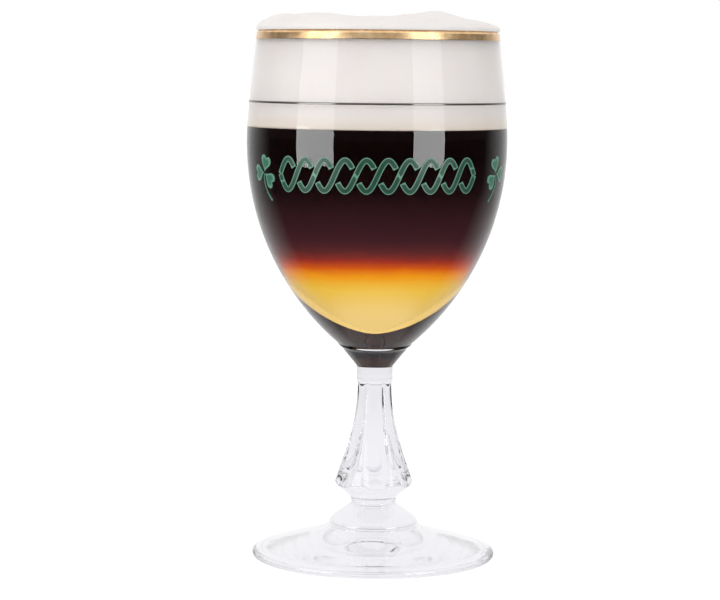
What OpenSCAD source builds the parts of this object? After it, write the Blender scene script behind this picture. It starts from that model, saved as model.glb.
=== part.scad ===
// Stemmed glass for a layered hot coffee drink, filled.
// A blown bowl is fused to a pressed, fluted stem, and the stem to a pressed foot.
// The rim is gilded, the bowl carries a fill line and fired prints, and the drink lies in layers.
// The origin is the centre of the foot's base, +Z is up and the prints face -Y.

/* [Bowl] */
// Height of the bowl over its fused seat
bowl_h = 88.8; // [84:0.2:96]
// Outer diameter at the widest place
bowl_d = 74; // [71:0.5:80]
// Height of the widest place over the seat
widest_h = 58; // [54:0.5:62]
// Outer diameter of the rim
rim_d = 68.4; // [65:0.2:71]
// Wall at the widest place
wall_t = 2; // [1.4:0.1:2.6]
// Wall at the rim, which is rounded over its full width
lip_t = 1.7; // [1.2:0.1:2.2]
// Solid glass between the seat and the floor of the cavity
floor_t = 8.4; // [7:0.2:10]
// How straight the side hangs below the widest place
belly_pull = 37.5; // [33:0.5:41]
// How straight the cavity's side hangs below the widest place
cavity_pull = 21; // [18:0.5:25]
// Radius of the bowl of the cavity's floor
cavity_floor_r = 10; // [7:0.5:12]

/* [Stem] */
// Height of the stem from the neck seam to the bowl's seat
stem_h = 45.2; // [42:0.2:55]
// Diameter of the seat under the bowl
seat_d = 20.4; // [18:0.2:23]
// Diameter of the plain collar under the seat
collar_d = 10.3; // [9.6:0.1:12]
// Height of the plain collar
collar_h = 4.4; // [3:0.2:6]
// Height of the flare between the collar and the seat
flare_h = 6.2; // [5:0.2:8]
// Diameter over the ridges at the waist
waist_d = 9.7; // [9:0.1:10.4]
// Largest diameter of the knop
knop_d = 22.2; // [19:0.2:24]
// Height of the knop's edge over the neck seam
knop_edge_h = 5.9; // [4.7:0.2:6.9]
// Diameter at the neck seam
neck_d = 12.6; // [11:0.2:15]
// Number of pressed flutes
flutes = 6; // [5:1:8]
// Distance from the axis to the middle of a flute at the waist
flute_waist_r = 4.15; // [3.9:0.05:4.3]
// Radius of the hollow across a flute
flute_hollow_r = 14; // [10:0.5:20]
// Radius of the long sweep of a flute down the knop
flute_sweep_r = 64; // [58:1:70]
// Turn of the flutes from the front
flute_turn = 4.4; // [-30:0.2:30]
// Radius of the bead that the fused seams leave
seam_bead_r = 0.45; // [0.3:0.05:0.6]

/* [Foot] */
// Diameter of the foot
foot_d = 69.5; // [62:0.5:80]
// Height of the foot from the table to the neck seam
foot_h = 16; // [15:0.2:20]
// Thickness of the foot's round edge
edge_t = 2.3; // [1.7:0.1:2.7]
// Width of the flat ring that the glass stands on
ring_w = 2.2; // [1.6:0.1:4]
// Rise of the hollow underside at the centre
dish_h = 2.4; // [1:0.1:3.4]
// Diameter of the boss under the neck
boss_d = 25.6; // [23:0.2:28]
// Height of the boss's shoulder over the table
shoulder_h = 10.3; // [9.8:0.1:11.5]
// Height at which the disc meets the boss
disc_h = 8.7; // [7.8:0.1:9.4]

/* [Gilding and prints] */
// Height of the gilded band outside the rim
gilding_h = 2.4; // [1.4:0.1:4]
// Thickness of the gilding
gilding_t = 0.1; // [0.06:0.01:0.2]
// Height of the fill line over the bowl's seat
line_h = 69; // [64:0.2:76]
// Width of the fill line
line_w = 0.6; // [0.4:0.1:1.2]
// Thickness of the fired prints
print_t = 0.12; // [0.06:0.01:0.2]
// Height of the prints' middle over the bowl's seat
print_h = 49.6; // [44:0.2:54]
// Turn of the left shamrock from the front
shamrock_left_turn = -58; // [-70:1:-58]
// Turn of the right shamrock from the front
shamrock_right_turn = 64; // [60:1:74]
// Length of one leaf
leaf_l = 4.5; // [3:0.1:5.4]
// Width of one leaf
leaf_w = 4.6; // [3:0.1:5.4]
// Distance from the joint of the leaves to the tip of each
leaf_gap = 0.35; // [0.2:0.05:0.8]
// Length of the stalk
stalk_l = 7.6; // [5:0.2:10]
// Width of the stalk
stalk_w = 0.55; // [0.4:0.05:0.9]
// Tilt of each shamrock
shamrock_tilt = 18; // [0:1:30]
// Length of one turn of the knotwork
knot_pitch = 11.8; // [9:0.2:12]
// Number of whole turns of the knotwork
knot_turns = 5; // [2:1:5]
// Height of the knotwork between the middles of its strands
knot_h = 8.4; // [6:0.2:9]
// Width of a strand
strand_w = 1.6; // [1:0.1:1.8]
// Gap where a strand passes under another
strand_gap = 0.3; // [0.2:0.05:0.6]

/* [Drink] */
// Depth of the whiskey layer
whiskey_h = 18.2; // [12:0.2:24]
// Depth of the coffee layer
coffee_h = 35.2; // [28:0.2:40]
// Height of the cream's crown over the gilded rim
crown_h = 4.2; // [3:0.1:6]
// How far the crown swells sideways at its edge
crown_swell = 0.8; // [0.4:0.1:1.4]

/* [Hidden] */
$fn = 96;

// Directions of a shamrock's leaves before its tilt
leaf_angles = [90, 200, 340];

// Clearances
print_gap = 0.03;
drink_gap = 0.05;

// Numbers of steps along curves
side_steps = 16;
shoulder_steps = 8;
lip_steps = 8;
short_steps = 6;
leaf_steps = 20;
crown_rings = 14;
crown_sectors = 96;

// Heights of the seams over the table
seat_z = foot_h + stem_h;
rim_z = seat_z + bowl_h;
floor_z = seat_z + floor_t;
whiskey_z = floor_z + whiskey_h;
coffee_z = whiskey_z + coffee_h;
crown_z = rim_z + gilding_t + 2 * print_gap;

// Radii of the named diameters
bowl_r = bowl_d / 2;
rim_r = rim_d / 2;
lip_r = lip_t / 2;
seat_r = seat_d / 2;
collar_r = collar_d / 2;
waist_r = waist_d / 2;
knop_r = knop_d / 2;
neck_r = neck_d / 2;
foot_r = foot_d / 2;
edge_r = edge_t / 2;
boss_r = boss_d / 2;

// Shape of the curves, as shares of the sizes that they run between
rim_lean_share = 0.33;
rim_pull_share = 0.3;
seat_pull_share = 0.02;
waist_pull_share = 0.42;
knop_lean_share = 0.5;
knop_pull_share = 0.33;
knop_under_shares = [0.12, 0.5];
knop_round_share = 0.38;
boss_shares = [[1, 0.31], [0.14, 0.64]];
disc_shares = [[0.67, 0.42], [0.15, 0.78]];
groove_share = 0.3;
stalk_bend_share = 0.62;

// Angles at which the foot's round edge and the gilding over the lip end
edge_end = 75;
gilding_end = 150;

// Humps of the crown: across, back, height and width, as shares of its radius and its height
crown_hump_shares = [
    [0.47, -0.1, 0.42, 0.2], [-0.58, -0.2, 0.2, 0.3], [0.04, 0.2, -0.09, 0.24],
    [-0.3, 0.45, 0.06, 0.26], [0.42, 0.55, 0.04, 0.24], [-0.82, 0, 0.34, 0.16],
    [0.76, -0.1, -0.12, 0.2], [-0.07, -0.45, -0.15, 0.22]
];
crown_edge_power = 4;

// Point of a cubic curve from a to d, which leaves towards b and arrives from c
function curve_point(a, b, c, d, t) =
    pow(1 - t, 3) * a + 3 * t * pow(1 - t, 2) * b + 3 * t * t * (1 - t) * c + pow(t, 3) * d;
function curve(a, b, c, d, steps) = [for (i = [0:steps]) curve_point(a, b, c, d, i / steps)];
// Points of an arc about c
function arc(c, r, from, to, steps) =
    [for (i = [0:steps]) let (a = from + (to - from) * i / steps) c + r * [cos(a), sin(a)]];
function reversed(list) = [for (i = [len(list) - 1:-1:0]) list[i]];

// Outside of the bowl from the seat to where the lip's rounding starts
lip_centre = [rim_r - lip_r, rim_z - lip_r];
widest_z = seat_z + widest_h;
shoulder_h_above = lip_centre.y - widest_z;
bowl_side = concat(
    curve(
        [seat_r, seat_z],
        [seat_r, seat_z] + seat_pull_share * widest_h * [1, 1],
        [bowl_r, widest_z - belly_pull],
        [bowl_r, widest_z],
        side_steps
    ),
    [for (i = [1:shoulder_steps]) curve_point(
        [bowl_r, widest_z],
        [bowl_r, widest_z + rim_pull_share * shoulder_h_above],
        [rim_r + rim_lean_share * (bowl_r - rim_r), lip_centre.y - rim_pull_share * shoulder_h_above],
        [rim_r, lip_centre.y],
        i / shoulder_steps
    )]
);

// Inside of the bowl from the middle of the cavity's floor to the lip, drawn in by gap
function cavity_side(gap) = concat(
    curve(
        [0, floor_z + gap],
        [cavity_floor_r - gap, floor_z + gap],
        [bowl_r - wall_t - gap, widest_z - cavity_pull],
        [bowl_r - wall_t - gap, widest_z],
        side_steps
    ),
    [for (i = [1:shoulder_steps]) curve_point(
        [bowl_r - wall_t - gap, widest_z],
        [bowl_r - wall_t - gap, widest_z + rim_pull_share * shoulder_h_above],
        [rim_r - lip_t + rim_lean_share * (bowl_r - rim_r) - gap,
            lip_centre.y - rim_pull_share * shoulder_h_above],
        [rim_r - lip_t - gap, lip_centre.y],
        i / shoulder_steps
    )]
);

// Radius of the bowl's outside, and of the drink's side, at a height over the table
side_table = [for (p = bowl_side) [p.y, p.x]];
function side_r(z) = lookup(z, side_table);
drink_table = [for (p = cavity_side(drink_gap)) [p.y, p.x]];
function drink_r(z) = lookup(z, drink_table);

// Outline of a layer of the drink between two heights
function layer_outline(low, high) = concat(
    [[0, low], [drink_r(low), low]],
    [for (p = cavity_side(drink_gap)) if (p.y > low && p.y < high) p],
    [[drink_r(high), high], [0, high]]
);

// Place on the bowl's outside: along the print, up it, and out from the glass
function on_bowl(turn, along, up, lift) =
    let (
        z = seat_z + print_h + up,
        r = side_r(z),
        angle = turn + along / r * 180 / PI
    )
    [(r + lift) * sin(angle), -(r + lift) * cos(angle), z];

// Faces of a body through rings of n points, closed at both ends
function ring_faces(rings, n) = concat(
    [for (i = [0:rings - 2]) for (j = [0:n - 1]) [i * n + j, i * n + (j + 1) % n, (i + 1) * n + j]],
    [for (i = [0:rings - 2]) for (j = [0:n - 1])
        [i * n + (j + 1) % n, (i + 1) * n + (j + 1) % n, (i + 1) * n + j]],
    [for (j = [1:n - 2]) [0, j + 1, j]],
    [for (j = [1:n - 2]) [(rings - 1) * n, (rings - 1) * n + j, (rings - 1) * n + j + 1]]
);

// Printed stroke along a list of points, each with its own width
module stroke(turn, path, widths) {
    last = len(path) - 1;
    rings = [for (i = [0:last])
        let (
            step = path[min(i + 1, last)] - path[max(i - 1, 0)],
            side = [-step.y, step.x] / norm(step) * widths[i] / 2,
            left = path[i] + side,
            right = path[i] - side
        )
        each [
            on_bowl(turn, left.x, left.y, print_gap),
            on_bowl(turn, right.x, right.y, print_gap),
            on_bowl(turn, right.x, right.y, print_gap + print_t),
            on_bowl(turn, left.x, left.y, print_gap + print_t)
        ]
    ];
    polyhedron(rings, ring_faces(len(path), 4));
}

// Printed patch: an outline that its own middle sees all round
module patch(turn, middle, outline) {
    n = len(outline);
    lower = [for (p = outline) on_bowl(turn, p.x, p.y, print_gap)];
    upper = [for (p = outline) on_bowl(turn, p.x, p.y, print_gap + print_t)];
    middles = [
        on_bowl(turn, middle.x, middle.y, print_gap),
        on_bowl(turn, middle.x, middle.y, print_gap + print_t)
    ];
    polyhedron(
        concat(lower, upper, middles),
        concat(
            [for (j = [0:n - 1]) [2 * n, j, (j + 1) % n]],
            [for (j = [0:n - 1]) [2 * n + 1, n + (j + 1) % n, n + j]],
            [for (j = [0:n - 1]) [j, n + j, (j + 1) % n]],
            [for (j = [0:n - 1]) [n + j, n + (j + 1) % n, (j + 1) % n]]
        )
    );
}

// Blown bowl with a rounded lip and a thick floor over its seat
module bowl() {
    color([0.86, 0.89, 0.92, 0.35])
        rotate_extrude()
            polygon(concat(
                [[0, seat_z]],
                bowl_side,
                arc(lip_centre, lip_r, 0, 180, lip_steps),
                reversed(cavity_side(0))
            ));
}

// Round part of the stem: the chamfered collar, the flare and the bead at the seat
module stem_collar() {
    collar_z = seat_z - flare_h - collar_h;
    chamfer = collar_r - flute_waist_r;
    rotate_extrude()
        polygon([
            [0, collar_z - chamfer],
            [flute_waist_r, collar_z - chamfer],
            [collar_r, collar_z],
            [collar_r, collar_z + collar_h],
            [seat_r, seat_z],
            [0, seat_z]
        ]);
    rotate_extrude()
        translate([seat_r - seam_bead_r / 2, seat_z - seam_bead_r])
            circle(seam_bead_r);
}

// Round blank that the flutes are pressed into
module stem_blank() {
    waist_z = seat_z - flare_h - collar_h;
    edge_z = foot_h + knop_edge_h;
    run = waist_z - edge_z;
    fall = knop_r - waist_r;
    under = knop_r - neck_r;
    rotate_extrude()
        polygon(concat(
            [[0, foot_h]],
            curve(
                [neck_r, foot_h],
                [neck_r, foot_h] + [knop_under_shares.x * under, knop_under_shares.y * knop_edge_h],
                [knop_r, edge_z - knop_round_share * knop_edge_h],
                [knop_r, edge_z],
                short_steps
            ),
            [for (i = [1:shoulder_steps]) curve_point(
                [knop_r, edge_z],
                [knop_r - knop_lean_share * fall, edge_z + knop_pull_share * run],
                [waist_r, waist_z - waist_pull_share * run],
                [waist_r, waist_z],
                i / shoulder_steps
            )],
            [[0, waist_z]]
        ));
    rotate_extrude()
        translate([neck_r - seam_bead_r / 2, foot_h + seam_bead_r])
            circle(seam_bead_r);
}

// One flute: a ring as thick as the flute's hollow, lying upright beside the stem
module flute_cutter() {
    ring_r = flute_sweep_r - flute_hollow_r;
    waist_z = seat_z - flare_h - collar_h;
    sink = (collar_r - flute_waist_r) * 2;
    translate([0, -(flute_waist_r + flute_sweep_r), waist_z - sink])
        rotate([0, 90, 0])
            rotate_extrude()
                translate([ring_r, 0])
                    circle(flute_hollow_r);
}

// Pressed stem: collar, and a baluster whose flutes end in scallops under the knop
module stem() {
    color([0.84, 0.87, 0.92, 0.5])
        union() {
            stem_collar();
            difference() {
                stem_blank();
                for (i = [0:flutes - 1])
                    rotate([0, 0, flute_turn + i * 360 / flutes])
                        flute_cutter();
            }
        }
}

// Pressed foot: flat standing ring, hollow underside, round edge, sloping disc and boss
module foot() {
    ring_out_r = foot_r - edge_r;
    ring_in_r = ring_out_r - ring_w;
    slope = ring_out_r - boss_r;
    rise = disc_h - edge_t;
    groove = groove_share * (shoulder_h - disc_h);
    boss_rise = foot_h - shoulder_h;
    boss_fall = boss_r - neck_r;
    color([0.84, 0.87, 0.92, 0.5])
        rotate_extrude()
            polygon(concat(
                [for (i = [0:short_steps]) let (a = 90 * i / short_steps)
                    [ring_in_r * sin(a), dish_h * cos(a)]],
                arc([ring_out_r, edge_r], edge_r, -90, edge_end, lip_steps),
                [for (i = [1:shoulder_steps]) curve_point(
                    [ring_out_r, edge_t],
                    [boss_r + disc_shares[0].x * slope, edge_t + disc_shares[0].y * rise],
                    [boss_r + disc_shares[1].x * slope, edge_t + disc_shares[1].y * rise],
                    [boss_r + 2 * groove, disc_h],
                    i / shoulder_steps
                )],
                [[boss_r, disc_h + groove]],
                curve(
                    [boss_r, shoulder_h - groove],
                    [neck_r + boss_shares[0].x * boss_fall, shoulder_h + boss_shares[0].y * boss_rise],
                    [neck_r + boss_shares[1].x * boss_fall, shoulder_h + boss_shares[1].y * boss_rise],
                    [neck_r, foot_h],
                    short_steps
                ),
                [[0, foot_h]]
            ));
}

// Gilding over the rim, down to its lower edge outside
module rim_gilding() {
    inner = lip_r + print_gap;
    low_z = rim_z - gilding_h;
    color("goldenrod")
        rotate_extrude()
            polygon(concat(
                [[side_r(low_z) + print_gap, low_z]],
                [for (p = bowl_side) if (p.y > low_z && p.y < lip_centre.y) p + [print_gap, 0]],
                arc(lip_centre, inner, 0, gilding_end, lip_steps),
                reversed(arc(lip_centre, inner + gilding_t, 0, gilding_end, lip_steps)),
                reversed([for (p = bowl_side) if (p.y > low_z && p.y < lip_centre.y)
                    p + [print_gap + gilding_t, 0]]),
                [[side_r(low_z) + print_gap + gilding_t, low_z]]
            ));
}

// Line that marks how far the coffee is poured
module fill_line() {
    low_z = seat_z + line_h - line_w / 2;
    high_z = low_z + line_w;
    color([0.25, 0.17, 0.14])
        rotate_extrude()
            polygon([
                [side_r(low_z) + print_gap, low_z],
                [side_r(low_z) + print_gap + print_t, low_z],
                [side_r(high_z) + print_gap + print_t, high_z],
                [side_r(high_z) + print_gap, high_z]
            ]);
}

// Outline of a heart-shaped leaf whose point lies leaf_gap from the joint, towards an angle
function leaf_outline(angle) = [for (i = [0:leaf_steps - 1])
    let (
        t = -360 * i / leaf_steps,
        across = leaf_w / 2 * pow(sin(t), 3),
        out = leaf_gap + leaf_l * (17 + 13 * cos(t) - 5 * cos(2 * t) - 2 * cos(3 * t) - cos(4 * t)) / 29
    )
    [out * cos(angle) + across * sin(angle), out * sin(angle) - across * cos(angle)]
];

// Shamrock of three leaves on a curved stalk; side is 1, or -1 for its mirror image
module shamrock(turn, side) {
    for (a = leaf_angles)
        let (angle = a - shamrock_tilt, tip = leaf_gap + leaf_l / 2)
            patch(
                turn,
                [side * tip * cos(angle), tip * sin(angle)],
                side > 0
                    ? leaf_outline(angle)
                    : reversed([for (p = leaf_outline(angle)) [-p.x, p.y]])
            );
    away = [-side * sin(shamrock_tilt), -cos(shamrock_tilt)];
    path = [for (i = [0:short_steps])
        let (t = i / short_steps)
        (leaf_gap + t * stalk_l) * away + t * t * stalk_bend_share * stalk_l * [side, 0]];
    stroke(turn, path, [for (i = [0:short_steps]) stalk_w * (1 + i / short_steps) / 2]);
}

module shamrock_left() {
    color([0.3, 0.52, 0.41])
        shamrock(shamrock_left_turn, 1);
}

module shamrock_right() {
    color([0.3, 0.52, 0.41])
        shamrock(shamrock_right_turn, -1);
}

// Place on a strand of the knotwork at a number of turns from its left end; side is 1 or -1
function strand_point(t, side) =
    [(t - knot_turns / 2) * knot_pitch, side * knot_h / 2 * sin(360 * t)];

// Stretch of a strand between two places where it passes under the other
module strand(from, to, side) {
    steps = ceil((to - from) * 2 * short_steps);
    stroke(
        0,
        [for (i = [0:steps]) strand_point(from + (to - from) * i / steps, side)],
        [for (i = [0:steps]) strand_w]
    );
}

// Two-strand knotwork between the shamrocks
module knot_border() {
    crossing = 2 * atan2(PI * knot_h, knot_pitch);
    spare = (strand_gap + strand_w / 2 * (1 + abs(cos(crossing)))) / sin(crossing);
    gap = spare / norm([knot_pitch, PI * knot_h]);
    color([0.24, 0.5, 0.38])
        for (side = [1, -1])
            for (i = [0:knot_turns])
                let (
                    start = max(0, i - (side > 0 ? 0.5 : 1)),
                    end = min(knot_turns, i + (side > 0 ? 0.5 : 0))
                )
                    if (end > start)
                        strand(
                            start == 0 ? 0 : start + gap,
                            end == knot_turns ? knot_turns : end - gap,
                            side
                        );
}

module whiskey_layer() {
    color([0.95, 0.72, 0.3])
        rotate_extrude()
            polygon(concat(
                [for (p = cavity_side(drink_gap)) if (p.y < whiskey_z) p],
                [[drink_r(whiskey_z), whiskey_z], [0, whiskey_z]]
            ));
}

module coffee_layer() {
    color([0.13, 0.05, 0.05])
        rotate_extrude()
            polygon(layer_outline(whiskey_z, coffee_z));
}

// Cream floated on the coffee, up through the mouth of the glass
module cream_layer() {
    neck = rim_r - lip_t - drink_gap;
    color([0.95, 0.91, 0.87])
        rotate_extrude()
            polygon(concat(
                [[0, coffee_z], [drink_r(coffee_z), coffee_z]],
                [for (p = cavity_side(drink_gap)) if (p.y > coffee_z && p.y < lip_centre.y) p],
                [[neck, lip_centre.y], [neck - gilding_t, rim_z], [neck - gilding_t, crown_z], [0, crown_z]]
            ));
}

// Height of the crown over its seat at a share of its radius and an angle
function crown_edge(q) = sqrt(max(0, 1 - pow(q, crown_edge_power)));
function crown_rise(q, a) =
    crown_h * crown_edge(q)
        * (1 + [for (h = crown_hump_shares)
            let (far = norm([q * cos(a) - h.x, q * sin(a) - h.y]) / h[3])
            h.z * exp(-far * far)] * [for (h = crown_hump_shares) 1]);

// Whipped cream heaped over the rim
module cream_crown() {
    shares = [for (i = [1:crown_rings]) sin(90 * i / crown_rings)];
    n = crown_sectors;
    rings = len(shares);
    points = concat(
        [for (q = shares) for (j = [0:n - 1])
            let (a = 360 * j / n, r = rim_r * q + crown_swell * sin(180 * crown_edge(q)))
            [r * cos(a), r * sin(a), crown_z + crown_rise(q, a)]],
        [[0, 0, crown_z + crown_rise(0, 0)], [0, 0, crown_z]]
    );
    color([0.96, 0.94, 0.93])
        polyhedron(points, concat(
            [for (j = [0:n - 1]) [rings * n, (j + 1) % n, j]],
            [for (i = [0:rings - 2]) for (j = [0:n - 1])
                [i * n + j, i * n + (j + 1) % n, (i + 1) * n + j]],
            [for (i = [0:rings - 2]) for (j = [0:n - 1])
                [i * n + (j + 1) % n, (i + 1) * n + (j + 1) % n, (i + 1) * n + j]],
            [for (j = [0:n - 1])
                [(rings - 1) * n + j, (rings - 1) * n + (j + 1) % n, rings * n + 1]]
        ));
}

bowl();
stem();
foot();
rim_gilding();
fill_line();
shamrock_left();
shamrock_right();
knot_border();
whiskey_layer();
coffee_layer();
cream_layer();
cream_crown();
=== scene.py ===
"""Dresses a packed stemmed glass of layered coffee: glass, drink, cream, gilding, prints and studio."""

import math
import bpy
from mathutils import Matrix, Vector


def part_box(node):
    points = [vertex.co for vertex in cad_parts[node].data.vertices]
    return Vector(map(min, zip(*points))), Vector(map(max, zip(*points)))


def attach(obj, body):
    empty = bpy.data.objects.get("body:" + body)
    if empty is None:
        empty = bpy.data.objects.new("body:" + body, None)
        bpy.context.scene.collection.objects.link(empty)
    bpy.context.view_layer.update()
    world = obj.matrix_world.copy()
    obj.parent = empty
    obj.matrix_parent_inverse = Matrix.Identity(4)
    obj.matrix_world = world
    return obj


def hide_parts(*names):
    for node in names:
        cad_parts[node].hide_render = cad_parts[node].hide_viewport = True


bl_info = {
    "name": "Stemmed Coffee Glass",
    "version": (1, 0, 0),
    "blender": (4, 5, 0),
    "location": "View3D > Sidebar > Coffee Glass",
    "description": "Builds the visible pieces of a filled stemmed glass round its packed CAD model",
    "category": "Object",
}

import bpy
from bpy.props import FloatProperty, FloatVectorProperty, IntProperty, PointerProperty
from bpy.types import Operator, Panel, PropertyGroup
from mathutils import Matrix, Vector, noise

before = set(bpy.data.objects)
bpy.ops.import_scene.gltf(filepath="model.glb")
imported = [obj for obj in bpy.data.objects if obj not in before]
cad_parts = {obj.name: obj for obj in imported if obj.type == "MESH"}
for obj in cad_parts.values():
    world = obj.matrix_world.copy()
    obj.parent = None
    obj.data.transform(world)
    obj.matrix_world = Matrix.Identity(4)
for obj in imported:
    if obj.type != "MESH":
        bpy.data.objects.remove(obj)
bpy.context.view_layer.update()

MM = 0.001
TAU = 2 * math.pi

# The cavity's wall bends light as glass does against the drink, and the drink's mesh only tints it
GLASS_IOR = 1.5
WETTED_IOR = 1.111
DRINK_IOR = 1.001
ENAMEL_IOR = 2.4

# The bead at the neck: height over the seam, how far it stands out and half its width
NECK_BEAD = (0.45 * MM, 0.24 * MM, 0.35 * MM)

# How steeply the flutes end, and how much weaker the seam's bead is at the sides than in front
CHAMFER_SLOPE = 0.4
SEAM_SWING = 0.48

# Heights between which the glass turns to its painted shade, a greyer tint on the stem and foot
PAINTED_SHADE_HEIGHTS = (64 * MM, 58 * MM)

# Where the values of a noise mostly lie
NOISE_SPAN = (0.32, 0.68)

# How bright the camera sees the floor lit up, and how much of that it sees
PAPER_LIGHT, PAPER_SHARE = 1.35, 0.6

# Distances from the axis between which the gloss stops seeing the floor white
NEAR_FOOT = (34 * MM, 68 * MM)

# Humps of the crown: across, back, height and width, as shares of its radius and its height
CROWN_HUMPS = (
    (0.47, -0.1, 0.42, 0.2),
    (-0.58, -0.2, 0.2, 0.3),
    (0.04, 0.2, -0.09, 0.24),
    (-0.3, 0.45, 0.06, 0.26),
    (0.42, 0.55, 0.04, 0.24),
    (-0.82, 0.0, 0.34, 0.16),
    (0.76, -0.1, -0.12, 0.2),
    (-0.07, -0.45, -0.15, 0.22),
)
CROWN_RINGS, CROWN_SECTORS = 84, 288

# Directions of a shamrock's leaves in degrees, and how far its stalk bends as a share of its length
LEAVES = (90, 200, 340)
STALK_BEND = 0.62

# Thickness of the fill line at its edges, as a share of the rest, and steps in a turn of the knotwork
LINE_EDGE = 0.7
KNOT_STEPS = 36

# Light strips: direction from the front and width, both in degrees as seen from the glass
STRIPS = {"strip_left": (-55.2, 37.5), "strip_right": (44.9, 29.7)}

# Lamps: place and size, and the height that they shine at
LAMPS = {"key": ((-0.5, -0.75, 0.7), 0.7), "top": ((0.2, 0.1, 1.1), 0.8)}
LAMP_AIM = 0.09

BOUNCES = 32
FLOOR_DROP = 0.02 * MM


def top_of(node):
    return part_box(node)[1].z


def bottom_of(node):
    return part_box(node)[0].z


def half_width_of(node):
    low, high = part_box(node)
    return (high.x - low.x) / 2


def length(default, description):
    return FloatProperty(description=description, default=default, min=0, unit="LENGTH", precision=5)


def mm(size, description):
    return length(size * MM, description)


def angle(degrees, description):
    return FloatProperty(description=description, default=math.radians(degrees), subtype="ANGLE")


def number(default, description, unit="NONE"):
    return FloatProperty(description=description, default=default, unit=unit)


def whole(default, least, description):
    return IntProperty(description=description, default=default, min=least)


def colour(default, description):
    return FloatVectorProperty(
        description=description, default=default, size=3, min=0, max=1, subtype="COLOR"
    )


def labelled(group):
    """Names each property of a group after its attribute."""
    for attribute, entry in group.__annotations__.items():
        entry.keywords["name"] = attribute.replace("_", " ").capitalize()
    return group


@labelled
class BowlSizes(PropertyGroup):
    seat_height: length(bottom_of("bowl"), "Seam between the stem and the bowl")
    rim_height: length(top_of("bowl"), "Top of the glass")
    radius: length(half_width_of("bowl"), "Outer radius at the widest place")
    widest: mm(58, "Widest place over the seat")
    rim_radius: mm(34.2, "Outer radius of the rim")
    wall: mm(2, "Thickness at the widest place")
    lip: mm(1.7, "Thickness of the round lip")
    floor: mm(8.4, "Solid glass under the cavity")
    belly_pull: mm(37.5, "How straight the side hangs below the widest place")
    cavity_pull: mm(21, "The same for the cavity")
    cavity_floor: mm(10, "Radius of the cavity's round floor")


@labelled
class StemSizes(PropertyGroup):
    seat_radius: mm(10.2, "Radius under the bowl")
    collar_radius: mm(5.15, "Radius of the plain collar")
    collar: mm(4.4, "Height of the plain collar")
    flare: mm(6.2, "Height of the flare over the collar")
    waist_radius: mm(4.85, "Radius over the ridges at the waist")
    knop_radius: mm(11.1, "Largest radius of the knop")
    knop_edge: mm(5.9, "Height of the knop's edge over the neck")
    neck_radius: mm(6.3, "Radius at the neck")
    flutes: whole(6, 3, "Pressed flutes round the stem")
    flute_waist: mm(4.15, "Axis to the middle of a flute at the waist")
    flute_hollow: mm(14, "Radius of the hollow across a flute")
    flute_sweep: mm(64, "Radius of a flute's long sweep")
    flute_turn: angle(4.4, "Turn of the flutes from the front")
    ridge_softness: mm(0.35, "Rounding of the ridges between flutes")
    seam_bead: mm(0.48, "How far the bowl's seam stands out in front")
    seam_width: mm(0.42, "Half the width of the seam's bead")
    seam_lean: mm(1.0, "How much lower the seam is in front than at the sides")


@labelled
class FootSizes(PropertyGroup):
    height: length(top_of("foot"), "Neck seam over the table")
    radius: length(half_width_of("foot"), "Outer radius of the foot")
    edge: mm(2.3, "Thickness of the round edge")
    ring: mm(2.2, "Width of the flat standing ring")
    dish: mm(2.4, "Rise of the hollow underside")
    boss_radius: mm(12.8, "Radius of the boss under the neck")
    shoulder: mm(10.3, "Height of the boss's shoulder")
    disc: mm(8.7, "Height at which the disc meets the boss")


@labelled
class DrinkSizes(PropertyGroup):
    coffee_top: length(top_of("coffee_layer"), "Top of the coffee, under the cream")
    whiskey_top: length(top_of("whiskey_layer"), "Middle of the change of colour")
    wetting: mm(0.1, "How far the drink reaches into the wall, so no air shows")
    crown_seat: length(bottom_of("cream_crown"), "Underside of the crown")
    crown: mm(4.2, "Height of the crown")
    crown_swell: mm(0.8, "Sideways swell at the crown's edge")
    folds: mm(0.28, "Height of the folds on the cream")


@labelled
class PrintSizes(PropertyGroup):
    gilding_band: mm(2.4, "Height of the gilding outside the rim")
    gilding_thickness: mm(0.1, "Thickness of the gilding")
    line_bottom: length(bottom_of("fill_line"), "Lower edge of the fill line")
    line_top: length(top_of("fill_line"), "Upper edge of the fill line")
    gap: mm(0.03, "Gap between the glass and what is fired on it")
    thickness: mm(0.12, "Thickness of the enamel")
    height: mm(49.6, "Middle of the prints over the bowl's seat")
    left_turn: angle(-58, "Left shamrock's turn from the front")
    right_turn: angle(64, "Right shamrock's turn from the front")
    leaf_length: mm(4.5, "Length of a leaf")
    leaf_width: mm(4.6, "Width of a leaf")
    leaf_gap: mm(0.35, "Joint of the leaves to each tip")
    stalk: mm(7.6, "Length of the stalk")
    stalk_width: mm(0.55, "Width of the stalk's foot")
    tilt: angle(18, "Tilt of each shamrock")
    knot_pitch: mm(11.8, "Length of one turn of the knotwork")
    knot_turns: whole(5, 1, "Turns of the knotwork")
    knot_height: mm(8.4, "Height of the knotwork between its strands' middles")
    strand: mm(1.6, "Width of a strand")
    strand_gap: mm(0.3, "Gap beside a strand that passes over")


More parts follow.
